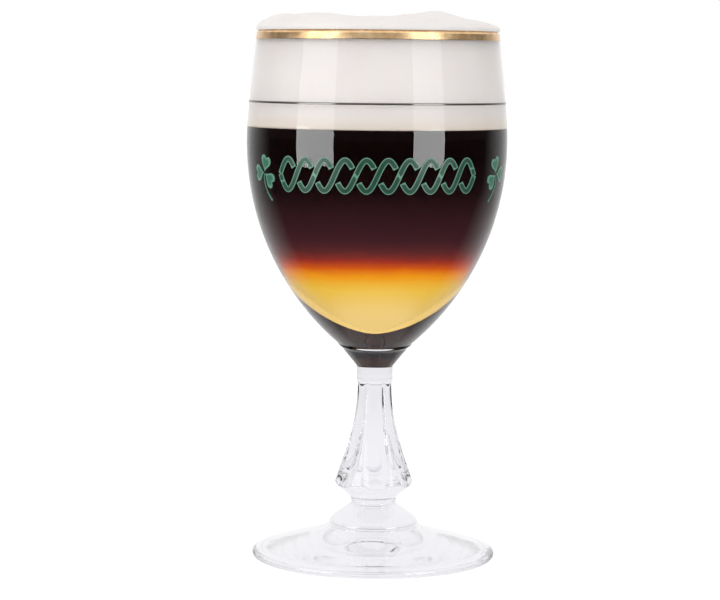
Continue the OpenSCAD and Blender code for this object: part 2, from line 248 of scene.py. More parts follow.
@labelled
class Colours(PropertyGroup):
    glass: colour((0.972, 0.974, 0.98), "Clear glass")
    # Painted shade: a greyer tint for all glass below the bowl's floor, stem and foot alike, thin or thick
    glass_shade: colour((0.86, 0.86, 0.9), "Clear glass where it is thick")
    coffee: colour((0.004, 0.0005, 0.0007), "Coffee")
    # Painted light: the coffee's top face is tinted a lighter maroon, so what is seen up through it glows
    cover: colour((0.11, 0.053, 0.068), "Top face of the coffee, seen from below")
    maroon: colour((0.053, 0.014, 0.019), "Coffee over the whiskey")
    garnet: colour((0.14, 0.027, 0.025), "Coffee that the whiskey's light reaches")
    red: colour((0.54, 0.042, 0.017), "Middle of the change of colour")
    orange: colour((1.0, 0.29, 0.003), "Whiskey under the coffee")
    honey: colour((0.995, 0.6, 0.06), "Whiskey a little lower")
    amber: colour((0.995, 0.68, 0.2), "Whiskey")
    cream: colour((0.86, 0.825, 0.8), "Cream")
    cream_stained: colour((0.87, 0.75, 0.63), "Cream that touches the coffee")
    gold: colour((0.95, 0.69, 0.41), "Gilding")
    line: colour((0.035, 0.022, 0.018), "Fill line")
    green: colour((0.012, 0.075, 0.045), "Green enamel")
    green_pale: colour((0.13, 0.32, 0.23), "Green enamel at its edges")
    paper: colour((0.93, 0.93, 0.93), "Floor")


@labelled
class Studio(PropertyGroup):
    distance: length(0.698, "Camera in front of the glass")
    height: length(0.141, "Camera over the table")
    aside: number(-4.4 * MM, "Camera beside the axis", "LENGTH")
    pitch: angle(5.5, "Camera's downward look")
    roll: angle(0.55, "Camera's turn about its own line of sight")
    focal_length: number(122.8, "In millimetres")
    floor: length(14.0, "Half the floor's side")
    strip_distance: length(0.65, "Light strips from the axis")
    strip_height: length(0.7, "Height of the light strips")
    strip_split: length(0.162, "Height over which the light strips are dimmer")
    strip_light: number(6.8, "Radiance")
    strip_haze: number(1.4, "Radiance higher up")
    fill_light: number(0.85, "World on matt surfaces")
    inner_light: number(1.58, "World on matt surfaces behind glass")
    key_light: number(2.2, "Key lamp, watts")
    top_light: number(0.8, "Top lamp, watts")


@labelled
class CoffeeGlass(PropertyGroup):
    bowl: PointerProperty(type=BowlSizes)
    stem: PointerProperty(type=StemSizes)
    foot: PointerProperty(type=FootSizes)
    drink: PointerProperty(type=DrinkSizes)
    prints: PointerProperty(type=PrintSizes)
    colours: PointerProperty(type=Colours)
    studio: PointerProperty(type=Studio)


def arithmetic(operation, swapped=False):
    """The method of a sign such as +, which adds a math node."""

    def method(value, other):
        return value.graph.math(operation, *((other, value) if swapped else (value, other)))

    return method


class Value:
    """An output of a node; plain arithmetic on it adds the nodes that work it out."""

    def __init__(self, graph, socket):
        self.graph, self.socket = graph, socket

    __add__, __radd__ = arithmetic("ADD"), arithmetic("ADD", True)
    __sub__, __rsub__ = arithmetic("SUBTRACT"), arithmetic("SUBTRACT", True)
    __mul__, __rmul__ = arithmetic("MULTIPLY"), arithmetic("MULTIPLY", True)
    __truediv__, __rtruediv__ = arithmetic("DIVIDE"), arithmetic("DIVIDE", True)
    __gt__, __lt__ = arithmetic("GREATER_THAN"), arithmetic("LESS_THAN")


class Graph:
    """Adds nodes to a tree, each placed right of what feeds it."""

    def __init__(self, tree):
        self.tree = tree
        self.columns = {}

    def add(self, kind, inputs=None, **settings):
        node = self.tree.nodes.new(kind)
        for key, value in settings.items():
            setattr(node, key, value)
        column = 0
        for key, value in (inputs or {}).items():
            socket = node.inputs[key]
            if isinstance(value, Value):
                self.tree.links.new(value.socket, socket)
                column = max(column, self.columns[value.socket.node.name] + 1)
            else:
                socket.default_value = (*value, 1) if socket.type == "RGBA" else value
        row = sum(c == column for c in self.columns.values())
        self.columns[node.name] = column
        node.location = (column * 210, -row * 190)
        return node

    def out(self, kind, inputs=None, output=0, **settings):
        """One output of a new node."""
        return Value(self, self.add(kind, inputs, **settings).outputs[output])

    def outs(self, kind, inputs=None, **settings):
        """All outputs of a new node by their names."""
        return {s.name: Value(self, s) for s in self.add(kind, inputs, **settings).outputs}

    def math(self, operation, *values):
        return self.out("ShaderNodeMath", dict(enumerate(values)), operation=operation)

    def vector(self, operation, *values):
        return self.out("ShaderNodeVectorMath", dict(enumerate(values)), operation=operation)

    def scaled(self, vector, factor):
        return self.out("ShaderNodeVectorMath", {0: vector, "Scale": factor}, operation="SCALE")

    def parts(self, vector):
        return list(self.outs("ShaderNodeSeparateXYZ", {0: vector}).values())

    def join(self, *parts):
        return self.out("ShaderNodeCombineXYZ", dict(enumerate(parts)))

    def where(self, kind="Object"):
        return self.out("ShaderNodeTexCoord", output=kind)

    def height(self):
        return self.parts(self.where())[2]

    def between(self, value, *span):
        """Where a value lies from low to high, from 0 to 1 or as the last two of the span say."""
        return self.out("ShaderNodeMapRange", dict(enumerate((value, *span))))

    def pick(self, factor, first, second):
        return self.out("ShaderNodeMix", {0: factor, 2: first, 3: second})

    def blend(self, factor, first, second):
        return self.out("ShaderNodeMix", {0: factor, 6: first, 7: second}, 2, data_type="RGBA")

    def ramp(self, factor, stops):
        node = self.add("ShaderNodeValToRGB", {0: factor})
        elements = node.color_ramp.elements
        while len(elements) < len(stops):
            elements.new(0.5)
        for element, (place, shade) in zip(elements, stops):
            element.position = place
            element.color = (*shade, 1)
        return Value(self, node.outputs[0])


def geometry_tree(name, **inputs):
    """A Geometry Nodes tree with one geometry in and out, and the named inputs of each kind."""
    tree = bpy.data.node_groups.new(name, "GeometryNodeTree")
    tree.interface.new_socket("Geometry", in_out="OUTPUT", socket_type="NodeSocketGeometry")
    for kind, labels in (("Geometry", ["Geometry"]), *inputs.items()):
        for label in labels:
            tree.interface.new_socket(label, in_out="INPUT", socket_type="NodeSocket" + kind)
    graph = Graph(tree)
    return graph, graph.outs("NodeGroupInput")


def turned_tree():
    """Turns a profile of points round the Z axis, and presses flutes into a stretch of it."""
    flutes = ("Flute Turn", "Flute Waist", "Flute Hollow", "Flute Sweep", "Flute Middle")
    seam = ("Seam Height", "Seam Bead", "Seam Width", "Seam Lean")
    graph, given = geometry_tree(
        "turned_form",
        Int=("Sectors", "Flutes"),
        Float=(*flutes, "Flutes From", "Flutes To", "Softness", *seam, "Inside From Row"),
        Material=("Outside", "Inside"),
    )
    m, out = graph.math, graph.out
    rows = out("GeometryNodeAttributeDomainSize", {0: given["Geometry"]}, component="MESH")
    ring = given["Sectors"] + 1.0
    sizes = {"Size X": 1.0, "Size Y": 1.0, "Vertices X": rows, "Vertices Y": ring}
    grid = out("GeometryNodeMeshGrid", sizes)
    index = out("GeometryNodeInputIndex")
    row = m("FLOOR", (index + 0.25) / ring)
    column = index - row * ring
    sampled = {"Geometry": given["Geometry"], "Value": out("GeometryNodeInputPosition"), "Index": row}
    point = out("GeometryNodeSampleIndex", sampled, data_type="FLOAT_VECTOR", domain="POINT")
    radius, _, height = graph.parts(point)
    turn = column / given["Sectors"] * -TAU
    # A flute is a hollow of its own radius, swept down the stem on a longer one
    half = TAU / m("MAXIMUM", given["Flutes"], 1.0) * 0.5
    off = m("WRAP", turn + math.pi / 2 - given["Flute Turn"], half, half * -1.0)
    away = height - given["Flute Middle"]
    sweep = given["Flute Sweep"]
    reach = m("SQRT", m("MAXIMUM", sweep * sweep - away * away, 0.0))
    hollow = given["Flute Hollow"] / sweep * reach
    centre = given["Flute Waist"] + sweep - reach + hollow
    across = centre * m("SINE", off)
    depth = m("SQRT", m("MAXIMUM", hollow * hollow - across * across, 0.0))
    pressed = m("SMOOTH_MIN", radius, centre * m("COSINE", off) - depth, given["Softness"])
    chamfer = m("MULTIPLY_ADD", height - given["Flutes To"], CHAMFER_SLOPE, radius)
    pressed = m("MAXIMUM", pressed, m("MINIMUM", chamfer, radius))
    within = (height > given["Flutes From"]) * (height < given["Flutes To"]) * (given["Flutes"] > 0.5)
    radius = radius + within * (pressed - radius)
    # The seam is a soft bead that leans towards the front and fades towards the back
    facing = m("COSINE", turn + math.pi / 2)
    middle = given["Seam Height"] - given["Seam Lean"] * facing
    off = (height - middle) / m("MAXIMUM", given["Seam Width"], 0.01 * MM)
    fade = m("MULTIPLY_ADD", facing, SEAM_SWING, 1 - SEAM_SWING)
    radius = radius + m("EXPONENT", off * off * -1.0) * (given["Seam Bead"] * fade)
    placed = graph.join(radius * m("COSINE", turn), radius * m("SINE", turn), height)
    form = out("GeometryNodeSetPosition", {"Geometry": grid, "Position": placed})
    stored = {"Geometry": form, "Name": "row", "Value": row}
    form = out("GeometryNodeStoreNamedAttribute", stored, data_type="FLOAT", domain="POINT")
    form = out("GeometryNodeMergeByDistance", {"Geometry": form, "Distance": 1e-6})
    form = out("GeometryNodeSetShadeSmooth", {"Geometry": form})
    form = out("GeometryNodeSetMaterial", {"Geometry": form, "Material": given["Outside"]})
    kept = out("GeometryNodeInputNamedAttribute", {"Name": "row"}, data_type="FLOAT")
    inner = {"Selection": kept > given["Inside From Row"], "Material": given["Inside"]}
    form = out("GeometryNodeSetMaterial", {"Geometry": form, **inner})
    form = out("GeometryNodeRemoveAttribute", {"Geometry": form, "Name": "row"})
    graph.add("NodeGroupOutput", {0: form})
    return graph.tree


def print_tree():
    """Repeats a flat print along a line, and wraps it round the outside of the glass."""
    graph, given = geometry_tree(
        "print_on_glass",
        Object=("Ends", "Glass"),
        Int=("Count",),
        Float=("Pitch", "Turn", "Height", "Gap"),
        Material=("Material",),
    )
    m, out = graph.math, graph.out
    reach = 60 * MM
    start = graph.join((given["Count"] - 1.0) * given["Pitch"] * -0.5, 0.0, 0.0)
    step = graph.join(given["Pitch"], 0.0, 0.0)
    spots = out("GeometryNodeMeshLine", {"Count": given["Count"], "Start Location": start, "Offset": step})
    repeated = out("GeometryNodeInstanceOnPoints", {"Points": spots, "Instance": given["Geometry"]})
    ends, glass = (
        out("GeometryNodeObjectInfo", {"Object": given[label]}, "Geometry") for label in ("Ends", "Glass")
    )
    both = graph.add("GeometryNodeJoinGeometry", {0: repeated})
    graph.tree.links.new(ends.socket, both.inputs[0])
    flat = out("GeometryNodeRealizeInstances", {0: Value(graph, both.outputs[0])})
    across, up, lift = graph.parts(out("GeometryNodeInputPosition"))
    height = up + given["Height"]

    def on_glass(turn):
        outward = graph.join(m("SINE", turn), m("COSINE", turn) * -1.0, 0.0)
        far = graph.vector("ADD", graph.scaled(outward, reach), graph.join(0.0, 0.0, height))
        ray = {
            "Target Geometry": glass,
            "Source Position": far,
            "Ray Direction": graph.scaled(outward, -1.0),
            "Ray Length": reach,
        }
        return graph.outs("GeometryNodeRaycast", ray)

    radius = m("MAXIMUM", graph.parts(on_glass(0.0)["Hit Position"])[1] * -1.0, MM)
    hit = on_glass(given["Turn"] + across / radius)
    off = graph.scaled(hit["Hit Normal"], lift + given["Gap"])
    placed = graph.vector("ADD", hit["Hit Position"], off)
    form = out("GeometryNodeSetPosition", {"Geometry": flat, "Position": placed})
    form = out("GeometryNodeSetMaterial", {"Geometry": form, "Material": given["Material"]})
    graph.add("NodeGroupOutput", {0: form})
    return graph.tree


def settled(piece, tree, inputs):
    """Runs a tree on a piece, and leaves the result as the piece's plain mesh."""
    modifier = piece.modifiers.new(tree.name, "NODES")
    modifier.node_group = tree
    sockets = {s.name: s.identifier for s in tree.interface.items_tree if s.in_out == "INPUT"}
    for name, value in inputs.items():
        modifier[sockets[name]] = value
    bpy.context.view_layer.update()
    graph = bpy.context.evaluated_depsgraph_get()
    mesh = bpy.data.meshes.new_from_object(piece.evaluated_get(graph), depsgraph=graph)
    old = piece.data
    piece.modifiers.clear()
    piece.data = mesh
    bpy.data.meshes.remove(old)
    mesh.name = piece.name
    if not mesh.polygons:
        raise RuntimeError(f"{piece.name} came out empty")
    return piece


def new_piece(name, points, edges=(), faces=()):
    mesh = bpy.data.meshes.new(name)
    mesh.from_pydata(points, edges, faces)
    mesh.update()
    piece = bpy.data.objects.new(name, mesh)
    bpy.context.scene.collection.objects.link(piece)
    return piece


def declared(piece, slot, *nodes):
    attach(piece, "root")
    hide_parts(*nodes)


def turned_piece(name, profile, sectors, material, **more):
    points = [(r, 0, z) for r, z in profile]
    edges = [(i, i + 1) for i in range(len(points) - 1)]
    piece = new_piece(name, points, edges)
    tree = bpy.data.node_groups.get("turned_form") or turned_tree()
    inputs = {
        "Sectors": sectors,
        "Flutes": 0,
        "Inside From Row": float(len(points)),
        "Outside": material,
        "Inside": material,
        "Flute Sweep": 1.0,
        "Flute Hollow": 1.0,
    }
    return settled(piece, tree, inputs | more)


def curve(a, b, c, d, steps, ease=1.0):
    """Points of a cubic curve from a to d without its first point; ease crowds them at a."""
    result = []
    for i in range(1, steps + 1):
        t = (i / steps) ** ease
        s = 1 - t
        weights = (s**3, 3 * t * s * s, 3 * t * t * s, t**3)
        result.append(tuple(sum(w * p[k] for w, p in zip(weights, (a, b, c, d))) for k in (0, 1)))
    return result


def arc(centre, radius, start, end, steps):
    turns = [math.radians(start + (end - start) * i / steps) for i in range(steps + 1)]
    return [(centre[0] + radius * math.cos(t), centre[1] + radius * math.sin(t)) for t in turns]


def line(a, b, steps):
    return [tuple(a[k] + (b[k] - a[k]) * i / steps for k in (0, 1)) for i in range(1, steps + 1)]


def rounded(a, corner, b, reach, steps=6):
    """Points of a corner's rounding, which starts and ends reach from it."""

    def towards(p):
        span = math.dist(p, corner)
        return tuple(corner[k] + (p[k] - corner[k]) * reach / span for k in (0, 1))

    first, last = towards(a), towards(b)
    return [first] + curve(first, corner, corner, last, steps)


def radius_at(side, height):
    for (r0, z0), (r1, z1) in zip(side, side[1:]):
        if z0 <= height <= z1:
            return r0 + (r1 - r0) * (height - z0) / max(z1 - z0, 1e-9)
    return side[-1][0]


def beside(side, heights, reach):
    """Points at the given heights, as far out from a side as reach says."""
    return [(radius_at(side, z) + reach, z) for z in heights]


def lip_centre(bowl):
    return (bowl.rim_radius - bowl.lip / 2, bowl.rim_height - bowl.lip / 2)


def bowl_shoulder(bowl, widest, neck, steps):
    """Side from the widest place up and in to the neck, level with the middle of the lip."""
    end = (neck, lip_centre(bowl)[1])
    above = end[1] - widest[1]
    bend = neck + 0.33 * (bowl.radius - bowl.rim_radius)
    return curve(widest, (widest[0], widest[1] + 0.3 * above), (bend, end[1] - 0.3 * above), end, steps)


def bowl_outside(bowl, stem):
    """Outside of the bowl from its seat to the lip's rounding."""
    start = (stem.seat_radius, bowl.seat_height)
    widest = (bowl.radius, bowl.seat_height + bowl.widest)
    pull = 0.02 * bowl.widest
    hang = (bowl.radius, widest[1] - bowl.belly_pull)
    side = [start] + curve(start, (start[0] + pull, start[1] + pull), hang, widest, 90, 1.5)
    return side + bowl_shoulder(bowl, widest, bowl.rim_radius, 30)


def cavity(bowl, wetting=0.0):
    """Inside of the bowl from the middle of its floor to the lip; wetting moves it into the wall."""
    start = (0, bowl.seat_height + bowl.floor - wetting)
    widest = (bowl.radius - bowl.wall + wetting, bowl.seat_height + bowl.widest)
    hang = (widest[0], widest[1] - bowl.cavity_pull)
    side = [start] + curve(start, (bowl.cavity_floor + wetting, start[1]), hang, widest, 60)
    return side + bowl_shoulder(bowl, widest, bowl.rim_radius - bowl.lip + wetting, 20)


def foot_profile(foot, stem):
    """Foot from the middle of its underside to the neck."""
    edge = foot.edge / 2
    ring_out = foot.radius - edge
    ring_in = ring_out - foot.ring
    turns = [math.pi / 40 * i for i in range(20)]
    result = [(ring_in * math.sin(t), foot.dish * math.cos(t)) for t in turns]
    result += [(ring_in, 0.12 * MM), (ring_in + 0.12 * MM, 0)]
    result += arc((ring_out, edge), edge, -90, 78, 18)
    slope = ring_out - foot.boss_radius
    rise = foot.disc - foot.edge
    groove = 0.3 * (foot.shoulder - foot.disc)
    low = (foot.boss_radius + 2 * groove, foot.disc)
    result += curve(
        (ring_out, foot.edge),
        (foot.boss_radius + 0.67 * slope, foot.edge + 0.42 * rise),
        (foot.boss_radius + 0.15 * slope, foot.edge + 0.78 * rise),
        low,
        46,
    )[1:]
    start = (foot.boss_radius, foot.shoulder - groove)
    result += rounded(low, (foot.boss_radius, foot.disc), start, 1.6 * groove)
    fall = foot.boss_radius - stem.neck_radius
    climb = foot.height - foot.shoulder
    return result + curve(
        start,
        (foot.boss_radius, foot.shoulder + 0.31 * climb),
        (stem.neck_radius + 0.14 * fall, foot.shoulder + 0.64 * climb),
        (stem.neck_radius, foot.height),
        30,
    )


def stem_profile(foot, stem, bowl):
    """Round form of the stem from the neck to the bowl's seat, over the ridges of its flutes."""
    neck = (stem.neck_radius, foot.height)
    edge = (stem.knop_radius, foot.height + stem.knop_edge)
    result = curve(
        neck,
        (neck[0] + 0.12 * (edge[0] - neck[0]), neck[1] + 0.5 * stem.knop_edge),
        (edge[0], edge[1] - 0.38 * stem.knop_edge),
        edge,
        28,
    )
    seat = (stem.seat_radius, bowl.seat_height)
    flare = (stem.collar_radius, seat[1] - stem.flare)
    collar = (stem.collar_radius, flare[1] - stem.collar)
    run = collar[1] - edge[1]
    fall = edge[0] - stem.waist_radius
    result += curve(
        edge,
        (edge[0] - 0.5 * fall, edge[1] + 0.33 * run),
        (stem.waist_radius, collar[1] - 0.42 * run),
        (stem.waist_radius, collar[1] - 0.1 * MM),
        70,
    )
    result += [(stem.collar_radius, collar[1] + 0.1 * MM)]
    result += line(result[-1], (flare[0], flare[1] - 0.6 * MM), 4)
    result += rounded(collar, flare, seat, 0.5 * MM, 5)
    return result + line(result[-1], seat, 44)


def with_bead(profile, height, stands, width):
    """The profile with a soft bead round it at a height."""
    return [(r + stands * math.exp(-(((z - height) / width) ** 2)), z) for r, z in profile]


def tinted(shade, *shares):
    """A colour times one share, or times a share for each of red, green and blue."""
    return tuple(c * s for c, s in zip(shade, 3 * shares))


def surface_mottle():
    """Shared effect: soft patches and fine grain, as two masks and a height."""
    group = bpy.data.node_groups.get("surface_mottle")
    if group:
        return group
    group = bpy.data.node_groups.new("surface_mottle", "ShaderNodeTree")
    inputs, outputs = ("Patch Scale", "Grain Scale", "Grain Share"), ("Patches", "Grain", "Height")
    for way, labels in (("INPUT", inputs), ("OUTPUT", outputs)):
        for label in labels:
            group.interface.new_socket(label, in_out=way, socket_type="NodeSocketFloat")
    graph = Graph(group)
    given = graph.outs("NodeGroupInput")
    where = graph.where()

    def mask(scale, detail):
        pattern = {"Vector": where, "Scale": given[scale], "Detail": detail}
        return graph.between(graph.out("ShaderNodeTexNoise", pattern), *NOISE_SPAN)

    patches, grain = mask("Patch Scale", 3.0), mask("Grain Scale", 2.0)
    height = grain * given["Grain Share"] + patches
    graph.add("NodeGroupOutput", dict(zip(outputs, (patches, grain, height))))
    return group


class Finish:
    """A material under way: its graph, the inputs of its shader and the shared mottle."""

    def __init__(self, name, patch, grain, grain_share=0.5, **plain):
        self.material = bpy.data.materials.new(name)
        self.material.use_nodes = True
        self.material.node_tree.nodes.clear()
        self.graph = Graph(self.material.node_tree)
        self.inputs = {label.replace("_", " "): value for label, value in plain.items()}
        scales = {"Patch Scale": patch, "Grain Scale": grain, "Grain Share": grain_share}
        self.mottle = self.graph.outs("ShaderNodeGroup", scales, node_tree=surface_mottle())

    def dress(self, shade, smooth, rough, strength=0.0, depth=0.0, relief=None):
        """Sets the colour, and the roughness and the bump from the mottle or a relief."""
        self.inputs["Base Color"] = shade
        self.inputs["Roughness"] = self.graph.between(self.mottle["Patches"], 0.0, 1.0, smooth, rough)
        if strength:
            bump = {"Height": relief or self.mottle["Height"], "Strength": strength, "Distance": depth}
            self.inputs["Normal"] = self.graph.out("ShaderNodeBump", bump)

    def done(self, factor=None, over=None):
        """Ends the material with its shader, or with another one mixed over it."""
        surface = self.graph.out("ShaderNodeBsdfPrincipled", self.inputs)
        if over:
            surface = self.graph.out("ShaderNodeMixShader", {0: factor, 1: surface, 2: over})
        self.graph.add("ShaderNodeOutputMaterial", {"Surface": surface})
        return self.material

    def done_clear(self, tint):
        """Ends it with clear shade for shadow rays, so that lamps reach what lies behind."""
        clear = self.graph.out("ShaderNodeBsdfTransparent", {"Color": tint})
        return self.done(self.graph.outs("ShaderNodeLightPath")["Is Shadow Ray"], clear)


def glass_material(name, colours, ior, waviness):
    finish = Finish(name, 40.0, 220.0, 0.05, Transmission_Weight=1.0, IOR=ior)
    graph = finish.graph
    # Below the bowl's floor the glass takes a greyer tint in random patches: painted shade
    low = graph.between(graph.height(), *PAINTED_SHADE_HEIGHTS)
    painted_shade = low * graph.between(finish.mottle["Patches"], 0.0, 1.0, 0.7, 1.0)
    shade = graph.blend(painted_shade, colours.glass, colours.glass_shade)
    finish.dress(shade, 0.0, 0.008, 1.0, waviness)
    return finish.done_clear((0.96, 0.96, 0.97))


def drink_material(colours, drink):
    finish = Finish("layered_drink", 140.0, 500.0, Transmission_Weight=1.0, IOR=DRINK_IOR, Roughness=0.0)
    graph = finish.graph
    level = graph.height() + (finish.mottle["Patches"] - 0.5) * (0.5 * MM)
    # Millimetres from the middle of the change of colour
    stops = (
        (-13.0, colours.amber),
        (-5.5, colours.honey),
        (-2.0, colours.orange),
        (0.1, colours.red),
        (2.6, colours.garnet),
        (6.0, colours.maroon),
        (18.0, tinted(colours.maroon, 0.2)),
        (27.0, colours.coffee),
        (34.9, colours.coffee),
        # The last stop tints the coffee's top face lighter: painted light, seen through it from below
        (35.15, colours.cover),
    )
    first, last = stops[0][0], stops[-1][0]
    places = graph.between(level, drink.whiskey_top + first * MM, drink.whiskey_top + last * MM)
    shade = graph.ramp(places, [((z - first) / (last - first), c) for z, c in stops])
    finish.inputs["Base Color"] = shade
    return finish.done_clear(shade)


def cream_material(name, colours, stain_from=None, bubbles=1.0):
    scatter = {"Subsurface_Weight": 0.35, "Subsurface_Scale": 2 * MM, "Subsurface_Radius": (1.0, 0.8, 0.6)}
    finish = Finish(name, 70.0, 1500.0, 0.35, **scatter)
    graph = finish.graph
    shade = graph.blend(finish.mottle["Patches"], tinted(colours.cream, 0.955, 0.94, 0.95), colours.cream)
    if stain_from is not None:
        depth = graph.between(graph.height(), stain_from + 5.5 * MM, stain_from)
        shade = graph.blend(graph.math("POWER", depth, 1.6), shade, colours.cream_stained)
    foam = {"Vector": graph.where(), "Scale": 1300.0}
    pits = graph.out("ShaderNodeTexVoronoi", foam, feature="SMOOTH_F1") * bubbles
    finish.dress(shade, 0.42, 0.62, 0.35, 0.15 * MM, pits + finish.mottle["Height"])
    return finish.done()


def gold_material(colours):
    finish = Finish("fired_gold", 320.0, 2400.0, 0.4, Metallic=1.0)
    deep = tinted(colours.gold, 0.82, 0.72, 0.6)
    shade = finish.graph.blend(finish.mottle["Patches"], deep, colours.gold)
    finish.dress(shade, 0.2, 0.3, 0.3, 0.03 * MM)
    return finish.done()


def line_material(colours):
    finish = Finish("line_enamel", 400.0, 2500.0, IOR=ENAMEL_IOR)
    worn = finish.graph.between(finish.mottle["Grain"], 0.6, 1.0)
    shade = finish.graph.blend(worn, colours.line, tinted(colours.line, 2.4))
    finish.dress(shade, 0.05, 0.1, 0.2, 0.02 * MM)
    return finish.done()


def green_material(name, inner, outer):
    """Enamel with a paler outline, from the print's own edge attribute."""
    finish = Finish(name, 500.0, 3000.0)
    graph = finish.graph
    edge = graph.out("ShaderNodeAttribute", output="Fac", attribute_name="edge")
    body = graph.blend(finish.mottle["Patches"], tinted(inner, 0.85), inner)
    finish.dress(graph.blend(graph.between(edge, 0.6, 0.78), body, outer), 0.3, 0.45, 0.3, 0.02 * MM)
    return finish.done()


def paper_material(colours):
    """Matt floor, which the camera and the glass also see lit up to white."""
    finish = Finish("studio_paper", 9.0, 300.0)
    graph, m = finish.graph, finish.graph.math
    shade = graph.blend(finish.mottle["Patches"], tinted(colours.paper, 0.985), colours.paper)
    finish.dress(shade, 0.8, 0.95)
    rays = graph.outs("ShaderNodeLightPath")
    camera, through = rays["Is Camera Ray"], rays["Is Transmission Ray"]
    bent = m("MAXIMUM", rays["Is Glossy Ray"], through)
    # The gloss sees the floor dark in front, and white behind the glass and close round its foot
    across, back, _ = graph.parts(graph.where())
    away = m("SQRT", across * across + back * back)
    behind = back / m("MAXIMUM", away, MM) - m("MINIMUM", away, 0.5) * 0.6
    near = graph.between(away, *NEAR_FOOT, 1.0, 0.0)
    mirrored = m("MAXIMUM", graph.between(behind, 0.0, 0.7, 0.03, 1.0), near)
    # Light that went straight through, or that comes off matt things, sees it white everywhere
    straight = through * (rays["Glossy Depth"] < 0.5)
    matt = m("MINIMUM", rays["Diffuse Depth"], 1.0)
    mirrored = m("MAXIMUM", mirrored, m("MAXIMUM", straight, matt))
    light = {"Color": (1, 1, 1), "Strength": camera * PAPER_LIGHT + bent * mirrored}
    return finish.done(m("MAXIMUM", camera * PAPER_SHARE, bent), graph.out("ShaderNodeEmission", light))


def ribbon(path, widths, thickness):
    """Flat closed stroke along a path: points, faces and how near each point is to its edge."""
    shares = (-1.0, -0.72, 0.0, 0.72, 1.0)
    points, edges = [], []
    last = len(path) - 1
    for i, (p, width) in enumerate(zip(path, widths)):
        a, b = path[max(i - 1, 0)], path[min(i + 1, last)]
        span = math.dist(a, b)
        side = (-(b[1] - a[1]) / span * width / 2, (b[0] - a[0]) / span * width / 2)
        for lift in (0.0, thickness):
            for s in shares if lift else reversed(shares):
                points.append((p[0] + s * side[0], p[1] + s * side[1], lift))
                edges.append(1.0 if i in (0, last) else abs(s))
    n = 2 * len(shares)
    faces = [bridge(i * n, (i + 1) * n, j, n) for i in range(last) for j in range(n)]
    faces += [tuple(reversed(range(n))), tuple(last * n + j for j in range(n))]
    return points, faces, edges


def bridge(first, second, j, count):
    """The quad between two rings of points, which start at first and second."""
    k = (j + 1) % count
    return (first + j, first + k, second + k, second + j)


def leaf(direction, sizes, mirror):
    """Flat closed heart-shaped leaf in rings about its middle."""
    steps, rings = 40, (1.0, 0.86, 0.6, 0.3)
    cos, sin = math.cos(direction), math.sin(direction)
    outline = []
    for i in range(steps):
        t = -TAU * i / steps
        across = sizes.leaf_width / 2 * math.sin(t) ** 3
        lobe = 17 + 13 * math.cos(t) - 5 * math.cos(2 * t) - 2 * math.cos(3 * t) - math.cos(4 * t)
        out = sizes.leaf_gap + sizes.leaf_length * lobe / 29
        outline.append((mirror * (out * cos + across * sin), out * sin - across * cos))
    if mirror < 0:
        outline.reverse()
    reach = sizes.leaf_gap + sizes.leaf_length / 2
    middle = (mirror * reach * cos, reach * sin)
    points, faces, edges = [], [], []
    for lift in (0.0, sizes.thickness):
        for ring in rings:
            points += [(*(m + ring * (p - m) for m, p in zip(middle, place)), lift) for place in outline]
            edges += [ring] * steps
        points.append((*middle, lift))
        edges.append(0.0)
    half = len(rings) * steps + 1
    for base in (0, half):
        side = []
        for r in range(len(rings) - 1):
            start = base + r * steps
            side += [bridge(start, start + steps, j, steps) for j in range(steps)]
        inner = base + (len(rings) - 1) * steps
        side += [(inner + j, inner + (j + 1) % steps, base + half - 1) for j in range(steps)]
        faces += side if base else [face[::-1] for face in side]
    faces += [bridge(0, half, j, steps) for j in range(steps)]
    return points, faces, edges


def flat_piece(name, shapes):
    """Joins flat shapes in one mesh with the edge attribute."""
    points, faces, edges = [], [], []
    for p, f, e in shapes:
        faces += [tuple(len(points) + i for i in face) for face in f]
        points += p
        edges += e
    piece = new_piece(name, points, faces=faces)
    piece.data.attributes.new("edge", "FLOAT", "POINT").data.foreach_set("value", edges)
    return piece


def print_piece(name, shapes, glass, material, ends=None, **more):
    """A print of flat shapes, wrapped round the glass."""
    piece = flat_piece(name, shapes)
    inputs = {
        "Glass": bpy.data.objects["fused_glass"],
        "Count": 1,
        "Height": glass.bowl.seat_height + glass.prints.height,
        "Gap": glass.prints.gap,
        "Material": material,
    }
    spare = flat_piece(name + "_ends", ends) if ends else None
    if spare:
        inputs["Ends"] = spare
    settled(piece, bpy.data.node_groups.get("print_on_glass") or print_tree(), inputs | more)
    if spare:
        bpy.data.objects.remove(spare)
    return piece


class GLASS_OT_fused_glass(Operator):
    """Blow the bowl, press the stem and the foot, and fuse the three"""

    bl_idname = "coffee_glass.fused_glass"
    bl_label = "Glass"

    def execute(self, context):
        g = context.scene.coffee_glass
        bowl, stem, foot = g.bowl, g.stem, g.foot
        above, stands, width = NECK_BEAD
        outside = foot_profile(foot, stem) + stem_profile(foot, stem, bowl)
        outside = with_bead(outside, foot.height + above, stands, width) + bowl_outside(bowl, stem)[1:]
        outside += arc(lip_centre(bowl), bowl.lip / 2, 0, 180, 20)[1:]
        collar = bowl.seat_height - stem.flare - stem.collar
        names = ("Flute Turn", "Flute Waist", "Flute Hollow", "Flute Sweep")
        names += ("Flutes", "Seam Bead", "Seam Width", "Seam Lean")
        inputs = {name: getattr(stem, name.lower().replace(" ", "_")) for name in names}
        inputs |= {
            "Flute Middle": collar - 2 * (stem.collar_radius - stem.flute_waist),
            "Flutes From": foot.height + 0.5 * MM,
            "Flutes To": collar,
            "Softness": stem.ridge_softness,
            "Seam Height": bowl.seat_height,
            "Inside From Row": float(len(outside) - 1),
        }
        dry = glass_material("clear_glass", g.colours, GLASS_IOR, 0.05 * MM)
        inputs["Inside"] = glass_material("wetted_glass", g.colours, WETTED_IOR, 0.02 * MM)
        piece = turned_piece("fused_glass", outside + cavity(bowl)[-2::-1], 180, dry, **inputs)
        declared(piece, "clear_glass", "bowl", "stem", "foot")
        return {"FINISHED"}


